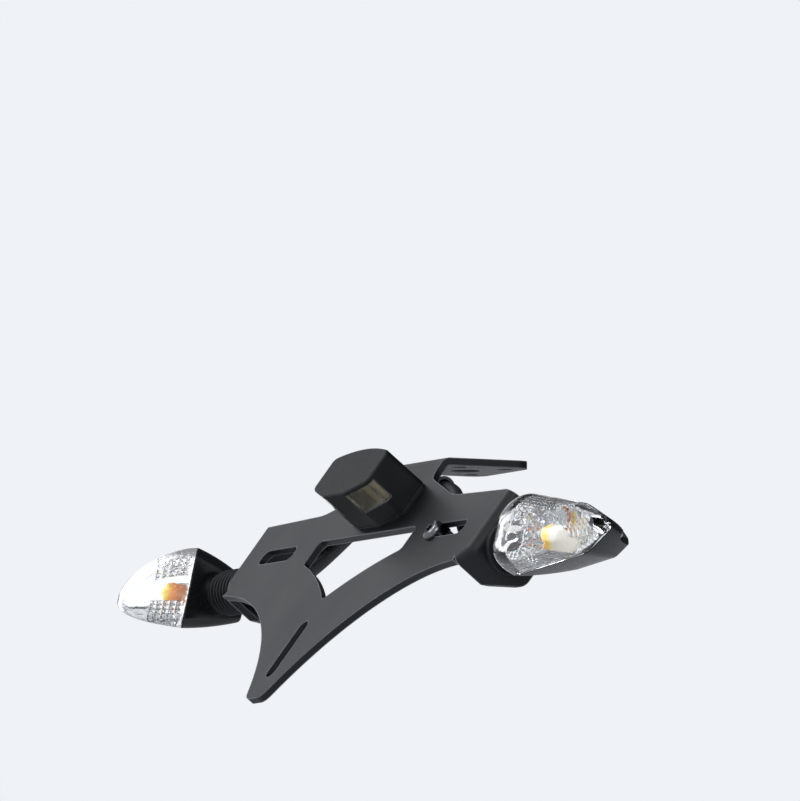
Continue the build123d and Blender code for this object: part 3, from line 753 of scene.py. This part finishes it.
def woven_sleeve(finishes):
    """A woven sleeve over the wires: crossing yarns that catch light one by one, with a painted highlight
    on each yarn's crown and painted shade where the yarns meet.
    """
    tree, place, material = start("woven_sleeve")
    # A yarn is about 0.5 mm wide; it is drawn at 0.9 mm so that it shows
    yarn = add(tree, "ShaderNodeTexVoronoi", {"Vector": place, "Scale": per_mm(0.9)})
    # Painted highlight at each yarn's middle and painted shade between the yarns
    tint = add(tree, "ShaderNodeValToRGB", {"Fac": yarn.outputs["Distance"]})
    tint.color_ramp.elements[0].color = shade(finishes.lead, 2.2)
    tint.color_ramp.elements[1].position = 0.7
    tint.color_ramp.elements[1].color = shade(finishes.lead, 0.6)
    bump = add(
        tree,
        "ShaderNodeBump",
        {"Height": yarn.outputs["Distance"], "Strength": 0.8, "Distance": 0.15 * MM},
        invert=True,
    )
    shader = add(
        tree,
        "ShaderNodeBsdfPrincipled",
        {"Base Color": tint.outputs["Color"], "Roughness": 0.5, "Normal": bump.outputs[0], "IOR": 1.5},
    )
    close(tree, shader)
    return material


def dress(material, *names):
    """Give solids their finish."""
    for name in names:
        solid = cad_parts[name]
        solid.data.materials.clear()
        solid.data.materials.append(material)


def both(*names):
    """The right-hand and left-hand nodes of these pieces."""
    return [f"{side}_{name}" for name in names for side in SIDES]


def alone():
    """Leave edit mode and deselect everything."""
    if bpy.context.object and bpy.context.object.mode != "OBJECT":
        bpy.ops.object.mode_set(mode="OBJECT")
    bpy.ops.object.select_all(action="DESELECT")


def join_part(piece, material, slot, *nodes):
    """Make a new piece part of the object, in the place of any CAD nodes that are named."""
    piece.data.materials.clear()
    piece.data.materials.append(material)
    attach(piece, "root")
    if nodes:
        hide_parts(*nodes)


class TIDY_OT_bracket(bpy.types.Operator):
    """Coat the folded bracket"""

    bl_idname = "tidy.bracket"
    bl_label = "Coat the bracket"

    def execute(self, context):
        dress(powder_coated_steel(context.scene.tidy_finishes), "plate_bracket")
        return {"FINISHED"}


class TIDY_OT_lamp(bpy.types.Operator):
    """Finish the plate lamp, its lens and what is inside it"""

    bl_idname = "tidy.lamp"
    bl_label = "Finish the plate lamp"

    def execute(self, context):
        dress(grained_abs(context.scene.tidy_finishes), "lamp_housing")
        dress(hazed_polycarbonate(), "lamp_lens")
        dress(cream_abs(), "lamp_reflector")
        dress(festoon_glass(), "lamp_bulb")
        dress(spring_brass(), "lamp_contacts")
        return {"FINISHED"}


class TIDY_OT_indicators(bpy.types.Operator):
    """Finish the indicators' shells, lenses and bulbs"""

    bl_idname = "tidy.indicators"
    bl_label = "Finish the indicators"

    def execute(self, context):
        finishes = context.scene.tidy_finishes
        dress(smooth_abs(finishes), *both("indicator_body"))
        dress(clear_polycarbonate(), *both("indicator_lens"))
        dress(lacquered_bulb(finishes), *both("indicator_bulb"))
        return {"FINISHED"}


class TIDY_OT_rubber(bpy.types.Operator):
    """Finish the ribbed stems and the gaskets"""

    bl_idname = "tidy.rubber"
    bl_label = "Finish the rubber"

    def execute(self, context):
        material = moulded_rubber(context.scene.tidy_finishes)
        dress(material, "lamp_gasket", *both("stem", "indicator_gasket"))
        return {"FINISHED"}


class TIDY_OT_fasteners(bpy.types.Operator):
    """Finish the bolts, nuts, washers, studs, clips, bulb holders and the connector"""

    bl_idname = "tidy.fasteners"
    bl_label = "Finish the fasteners"

    def execute(self, context):
        zinc = zinc_plated_steel()
        dress(zinc, "lamp_screws", "lamp_washers")
        dress(blackened_steel(), "slot_bolt", "slot_washer", "slot_nut")
        dress(zinc, *both("lens_screw", "stem_stud", "stem_washer", "stem_nut"))
        dress(moulded_nylon(), "lead_clips", "lead_connector", *both("bulb_holder"))
        return {"FINISHED"}


def lens_placement():
    """The matrix that carries lens plane millimetres into the frame, for the right indicator."""
    swept, tipped = radians(LENS_SWEEP), radians(LENS_TIP_BACK)
    rearward = Vector((sin(swept), -cos(swept) * cos(tipped), cos(swept) * sin(tipped)))
    outward = Vector((cos(swept), sin(swept) * cos(tipped), -sin(swept) * sin(tipped)))
    upward = rearward.cross(outward)
    origin = STEM_END + rearward * LENS_STAND + outward * LENS_OUT + upward * LENS_RISE
    turn = Matrix((outward, upward, rearward)).transposed().to_4x4()
    return Matrix.Translation(origin * MM) @ turn


def rim_sides():
    """Outward normals and distances from the bowl's centre of the reflector's sides and cut corners."""
    corners = [Vector(corner) * REFLECTOR_SHARE for corner in RIM_CORNERS]
    sides = []
    for at, corner in enumerate(corners):
        after = corners[(at + 1) % len(corners)]
        run = (after - corner).normalized()
        normal = Vector((run.y, -run.x))
        sides.append((normal, normal.dot(corner - BOWL_CENTRE)))
    for at, corner in enumerate(corners):
        normal = (sides[at - 1][0] + sides[at][0]).normalized()
        sides.append((normal, normal.dot(corner - BOWL_CENTRE) - CORNER_CUTS[at]))
    return sides


def bored(piece, spot, width):
    """Cut a round hole through a piece that lies in the lens plane."""
    alone()
    bpy.ops.mesh.primitive_cylinder_add(
        vertices=DRILL_SIDES,
        radius=width / 2 * MM,
        depth=DRILL_DEEP * MM,
        location=(spot[0] * MM, spot[1] * MM, 0),
    )
    drill = bpy.context.object
    alone()
    piece.select_set(True)
    bpy.context.view_layer.objects.active = piece
    cut = piece.modifiers.new("hole", "BOOLEAN")
    cut.operation = "DIFFERENCE"
    cut.object = drill
    cut.solver = "EXACT"
    bpy.ops.object.modifier_apply(modifier=cut.name)
    bpy.data.objects.remove(drill)


def cut_reflector(sizes):
    """The right reflector: a bowl of raised, four-sided cuts, bored for the bulb."""
    alone()
    sides = rim_sides()
    cells = round(REFLECTOR_GRID * MM / sizes.facet)
    bpy.ops.mesh.primitive_grid_add(
        x_subdivisions=cells, y_subdivisions=cells, size=cells * sizes.facet, location=(0, 0, 0)
    )
    piece = bpy.context.object
    piece.name = "right_cut_reflector"
    bpy.ops.object.mode_set(mode="EDIT")
    bpy.ops.mesh.select_all(action="SELECT")
    bpy.ops.transform.rotate(value=radians(FACET_TURN), orient_axis="Z", center_override=(0, 0, 0))
    for normal, distance in sides:
        on_side = (BOWL_CENTRE + normal * distance) * MM
        bpy.ops.mesh.select_all(action="SELECT")
        bpy.ops.mesh.bisect(
            plane_co=(on_side.x, on_side.y, 0), plane_no=(normal.x, normal.y, 0), clear_outer=True
        )
    bpy.ops.mesh.select_all(action="SELECT")
    bpy.ops.mesh.poke(offset=sizes.facet_rise, use_relative_offset=False)
    bpy.ops.object.mode_set(mode="OBJECT")
    # Sink the sheet into a bowl: level at its rim and deepest behind the bulb
    for vertex in piece.data.vertices:
        spot = Vector((vertex.co.x, vertex.co.y)) / MM - BOWL_CENTRE
        shares = [max(0.0, normal.dot(spot) / distance) for normal, distance in sides]
        reach = min(1.0, sum(share**BOWL_SHARPNESS for share in shares) ** (1 / BOWL_SHARPNESS))
        vertex.co.z += (REFLECTOR_FACE - REFLECTOR_DEEP * (1 - reach**2)) * MM - sizes.facet_rise
    wall = piece.modifiers.new("wall", "SOLIDIFY")
    wall.thickness = REFLECTOR_WALL * MM
    wall.offset = -1
    bpy.ops.object.modifier_apply(modifier=wall.name)
    bored(piece, BULB_SPOT, BULB_HOLE)
    return piece


def along(path, steps):
    """Evenly spaced spots along a path of two straights, its corner rounded."""
    first, corner, last = (Vector(spot) for spot in path)
    enter = corner + (first - corner).normalized() * PRISM_BEND
    leave = corner + (last - corner).normalized() * PRISM_BEND
    trace = [first]
    for step in range(PRISM_BEND_STEPS + 1):
        share = step / PRISM_BEND_STEPS
        trace.append(enter.lerp(corner, share).lerp(corner.lerp(leave, share), share))
    trace.append(last)
    lengths = [(b - a).length for a, b in zip(trace, trace[1:])]
    spots = []
    for step in range(steps + 1):
        rest = sum(lengths) * step / steps
        at = 0
        while at < len(lengths) - 1 and rest > lengths[at]:
            rest -= lengths[at]
            at += 1
        spots.append(trace[at].lerp(trace[at + 1], min(1.0, rest / lengths[at])))
    return spots


def prism_band(path, sizes):
    """A clear band along the inside of the right lens's wall, smooth outside and pointed inside."""
    alone()
    run = sum((Vector(b) - Vector(a)).length for a, b in zip(path, path[1:]))
    steps = round(run * MM / sizes.prism)
    rows = round((PRISM_HEAD - PRISM_FOOT) * MM / sizes.prism)
    spots = along(path, steps)
    bpy.ops.mesh.primitive_grid_add(x_subdivisions=steps, y_subdivisions=rows, size=2)
    band = bpy.context.object
    for vertex in band.data.vertices:
        spot = spots[round((vertex.co.x + 1) / 2 * steps)]
        height = PRISM_FOOT + (PRISM_HEAD - PRISM_FOOT) * (vertex.co.y + 1) / 2
        share = height / DOME_HEIGHT
        size = DOME_SHARE * (1 - share**DOME_FLARE) ** 0.5
        moved = spot * size + DOME_LEAN * share**DOME_LEAN_EASE
        vertex.co = Vector((moved.x, moved.y, height)) * MM
    wall = band.modifiers.new("wall", "SOLIDIFY")
    wall.thickness = PRISM_WALL * MM
    wall.offset = -1
    bpy.ops.object.modifier_apply(modifier=wall.name)
    # The sheet's own faces come first, and they look inward
    for face in band.data.polygons:
        face.select = face.index < steps * rows
    bpy.context.tool_settings.mesh_select_mode = (False, False, True)
    bpy.ops.object.mode_set(mode="EDIT")
    bpy.ops.mesh.poke(offset=sizes.prism_rise, use_relative_offset=False)
    bpy.ops.object.mode_set(mode="OBJECT")
    return band


def lens_prisms(sizes):
    """The right lens's prisms: one band at its top and one at its foot."""
    bands = [prism_band(path, sizes) for path in PRISM_PATHS]
    alone()
    for band in bands:
        band.select_set(True)
    bpy.context.view_layer.objects.active = bands[0]
    bpy.ops.object.join()
    bands[0].name = "right_lens_prisms"
    return bands[0]


def seat_pair(right):
    """Carry a piece from the lens plane to the right indicator, and mirror it for the left one."""
    alone()
    right.select_set(True)
    bpy.context.view_layer.objects.active = right
    right.matrix_world = lens_placement()
    bpy.ops.object.transform_apply(location=True, rotation=True, scale=True)
    bpy.ops.object.duplicate()
    left = bpy.context.object
    left.name = right.name.replace("right", "left")
    left.scale = (-1, 1, 1)
    bpy.ops.object.transform_apply(location=True, rotation=True, scale=True)
    bpy.ops.object.mode_set(mode="EDIT")
    bpy.ops.mesh.select_all(action="SELECT")
    bpy.ops.mesh.normals_make_consistent(inside=False)
    alone()
    return right, left


class TIDY_OT_reflectors(bpy.types.Operator):
    """Model the indicators' cut reflectors and the prisms inside their lenses"""

    bl_idname = "tidy.reflectors"
    bl_label = "Cut the reflectors and prisms"

    def execute(self, context):
        sizes = context.scene.tidy_sizes
        mirror_finish = metallised_abs()
        for side, piece in zip(SIDES, seat_pair(cut_reflector(sizes))):
            join_part(piece, mirror_finish, "silver", f"{side}_indicator_reflector")
        lens_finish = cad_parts["right_indicator_lens"].data.materials[0]
        for piece in seat_pair(lens_prisms(sizes)):
            join_part(piece, lens_finish, "clear_lens")
        return {"FINISHED"}


class TIDY_OT_leads(bpy.types.Operator):
    """Lay the sleeved leads from the stems to the connector"""

    bl_idname = "tidy.leads"
    bl_label = "Lay the leads"

    def execute(self, context):
        width = context.scene.tidy_sizes.lead
        sleeve = woven_sleeve(context.scene.tidy_finishes)
        for side, sign in zip(SIDES, (1, -1)):
            line = bpy.data.curves.new(f"{side}_sleeved_lead", "CURVE")
            line.dimensions = "3D"
            line.bevel_depth = width / 2
            line.bevel_resolution = 6
            line.resolution_u = 16
            line.use_fill_caps = True
            route = line.splines.new("NURBS")
            route.points.add(len(LEAD_ROUTE) - 1)
            for point, (x, y, z) in zip(route.points, LEAD_ROUTE):
                point.co = (sign * x * MM, y * MM, z * MM, 1)
            route.order_u = 3
            route.use_endpoint_u = True
            piece = bpy.data.objects.new(line.name, line)
            context.scene.collection.objects.link(piece)
            join_part(piece, sleeve, "lead", f"{side}_lead")
        return {"FINISHED"}


# The camera's axes, the point that it looks at, and pixels per millimetre at that point
CAMERA_BACK = Vector((0.885, -0.457, -0.087)).normalized()
CAMERA_RIGHT = Vector((0.4588, 0.8885, 0.0)).normalized()
CAMERA_AIM = Vector((14.4, -35.7, 21.8)) * MM
PIXELS_PER_MM = 2.6
PICTURE_LONG_SIDE = 801
SENSOR = 36.0
FAR_CLIP = 100

# The floor, and how much of the backdrop's level it gets for the camera
FLOOR_RADIUS = 3.0
FLOOR_SIDES = 96
FLOOR_GLOW = 0.35

# The backdrop's dark side: its direction, where it begins and is full, its level, and the least in glass
DARK_SIDE = Vector((0, 0.75, 0.66))
DARK_BEGINS = 0.45
DARK_FULL = 0.6
DARK_LEVEL = 0.08
CLEAR_DARK = 0.25

# The lamps: where they hang and what they face, their sizes, and the fill's share of the key's power
LAMP_AIM = (0, -0.05, -0.04)
KEY_SPOT = (-1.2, -2.2, 2.6)
KEY_SIZE = 2.0
FILL_SPOT = (2.6, -0.6, 1.2)
FILL_SIZE = 1.4
FILL_SHARE = 0.35


def set_backdrop(studio):
    """A pale backdrop, dimmer as a light, and dark ahead and above except to the camera."""
    world = bpy.data.worlds.new("studio")
    bpy.context.scene.world = world
    world.use_nodes = True
    tree = world.node_tree
    tree.nodes.clear()
    ray = add(tree, "ShaderNodeLightPath")
    seen = add(
        tree,
        "ShaderNodeMath",
        {0: ray.outputs["Is Camera Ray"], 1: ray.outputs["Is Glossy Ray"]},
        operation="MAXIMUM",
    )
    shown = add(
        tree,
        "ShaderNodeMath",
        {0: ray.outputs["Is Transmission Ray"], 1: seen.outputs[0]},
        operation="ADD",
    )
    level = add(
        tree,
        "ShaderNodeMapRange",
        {"Value": shown.outputs[0], "To Min": studio.ambient, "To Max": 1.0},
        clamp=False,
    )
    heading = add(tree, "ShaderNodeTexCoord")
    toward = add(
        tree,
        "ShaderNodeVectorMath",
        {0: heading.outputs["Generated"], 1: DARK_SIDE},
        operation="DOT_PRODUCT",
    )
    dark = add(
        tree,
        "ShaderNodeMapRange",
        {
            "Value": toward.outputs["Value"],
            "From Min": DARK_BEGINS,
            "From Max": DARK_FULL,
            "To Min": 1.0,
            "To Max": DARK_LEVEL,
        },
    )
    through = add(
        tree,
        "ShaderNodeMath",
        {0: ray.outputs["Is Transmission Ray"], 1: CLEAR_DARK, 2: ray.outputs["Is Camera Ray"]},
        operation="MULTIPLY_ADD",
    )
    unseen = add(
        tree, "ShaderNodeMath", {0: dark.outputs["Result"], 1: through.outputs[0]}, operation="MAXIMUM"
    )
    strength = add(
        tree, "ShaderNodeMath", {0: level.outputs["Result"], 1: unseen.outputs[0]}, operation="MULTIPLY"
    )
    sky = add(
        tree,
        "ShaderNodeBackground",
        {"Color": opaque(studio.backdrop), "Strength": strength.outputs[0]},
    )
    add(tree, "ShaderNodeOutputWorld", {"Surface": sky.outputs["Background"]})


def lay_floor(studio):
    """A pale floor under the object, lifted for the camera towards the backdrop's level."""
    alone()
    bpy.ops.mesh.primitive_circle_add(
        vertices=FLOOR_SIDES, radius=FLOOR_RADIUS, fill_type="NGON", location=(0, 0, -studio.floor_drop)
    )
    floor = bpy.context.object
    floor.name = "floor"
    tree, place, material = start("pale_floor")
    wear_and_highlight = add(tree, "ShaderNodeTexNoise", {"Vector": place, "Scale": per_mm(400), "Detail": 3.0})
    tint = add(tree, "ShaderNodeValToRGB", {"Fac": wear_and_highlight.outputs["Fac"]})
    tint.color_ramp.elements[0].color = shade(studio.backdrop, 0.97)
    tint.color_ramp.elements[1].color = opaque(studio.backdrop)
    ray = add(tree, "ShaderNodeLightPath")
    glow = add(
        tree, "ShaderNodeMath", {0: ray.outputs["Is Camera Ray"], 1: FLOOR_GLOW}, operation="MULTIPLY"
    )
    shader = add(
        tree,
        "ShaderNodeBsdfPrincipled",
        {
            "Base Color": tint.outputs["Color"],
            "Roughness": 0.9,
            "Emission Color": opaque(studio.backdrop),
            "Emission Strength": glow.outputs[0],
        },
    )
    close(tree, shader)
    floor.data.materials.append(material)


def hang_lamp(name, spot, aim, size, power):
    """A square soft lamp that faces a point."""
    light = bpy.data.lights.new(name, "AREA")
    light.shape = "SQUARE"
    light.size = size
    light.energy = power
    lamp = bpy.data.objects.new(name, light)
    lamp.location = spot
    lamp.rotation_mode = "QUATERNION"
    lamp.rotation_quaternion = (Vector(aim) - Vector(spot)).to_track_quat("-Z", "Y")
    bpy.context.scene.collection.objects.link(lamp)


def set_camera(studio):
    """The camera: low, behind and to the right, far off and through a long lens."""
    up = CAMERA_BACK.cross(CAMERA_RIGHT)
    camera = bpy.data.objects.new("camera", bpy.data.cameras.new("camera"))
    camera.data.sensor_width = SENSOR
    camera.data.lens = SENSOR * studio.distance * PIXELS_PER_MM / MM / PICTURE_LONG_SIDE
    camera.data.clip_end = FAR_CLIP
    turn = Matrix((CAMERA_RIGHT, up, CAMERA_BACK)).transposed().to_4x4()
    camera.matrix_world = Matrix.Translation(CAMERA_AIM + CAMERA_BACK * studio.distance) @ turn
    bpy.context.scene.collection.objects.link(camera)
    bpy.context.scene.camera = camera


class TIDY_OT_studio(bpy.types.Operator):
    """Set up the floor, the backdrop, the lamps and the camera"""

    bl_idname = "tidy.studio"
    bl_label = "Set the studio"

    def execute(self, context):
        studio = context.scene.tidy_studio
        context.scene.view_settings.view_transform = "Standard"
        set_backdrop(studio)
        lay_floor(studio)
        hang_lamp("key", KEY_SPOT, LAMP_AIM, KEY_SIZE, studio.key)
        hang_lamp("fill", FILL_SPOT, LAMP_AIM, FILL_SIZE, studio.key * FILL_SHARE)
        set_camera(studio)
        return {"FINISHED"}


class TIDY_PT_looks(bpy.types.Panel):
    """The tidy's looks, piece by piece"""

    bl_label = "Tail tidy"
    bl_idname = "TIDY_PT_looks"
    bl_space_type = "VIEW_3D"
    bl_region_type = "UI"
    bl_category = "Tail tidy"

    def draw(self, context):
        for group in (context.scene.tidy_finishes, context.scene.tidy_sizes, context.scene.tidy_studio):
            box = self.layout.box()
            for name in group.__annotations__:
                box.prop(group, name)
        for operator in OPERATORS:
            self.layout.operator(operator.bl_idname)


GROUPS = {"tidy_finishes": TidyFinishes, "tidy_sizes": TidySizes, "tidy_studio": TidyStudio}
OPERATORS = (
    TIDY_OT_studio,
    TIDY_OT_leads,
    TIDY_OT_bracket,
    TIDY_OT_lamp,
    TIDY_OT_indicators,
    TIDY_OT_rubber,
    TIDY_OT_fasteners,
    TIDY_OT_reflectors,
)


def register():
    for name, group in GROUPS.items():
        bpy.utils.register_class(group)
        setattr(bpy.types.Scene, name, bpy.props.PointerProperty(type=group))
    for kind in (*OPERATORS, TIDY_PT_looks):
        bpy.utils.register_class(kind)


def unregister():
    for kind in (TIDY_PT_looks, *reversed(OPERATORS)):
        bpy.utils.unregister_class(kind)
    for name, group in GROUPS.items():
        delattr(bpy.types.Scene, name)
        bpy.utils.unregister_class(group)


def main():
    register()
    bpy.ops.tidy.studio()
    bpy.ops.tidy.leads()
    bpy.ops.tidy.bracket()
    bpy.ops.tidy.lamp()
    bpy.ops.tidy.indicators()
    bpy.ops.tidy.rubber()
    bpy.ops.tidy.fasteners()
    bpy.ops.tidy.reflectors()


if __name__ == "__main__":
    main()
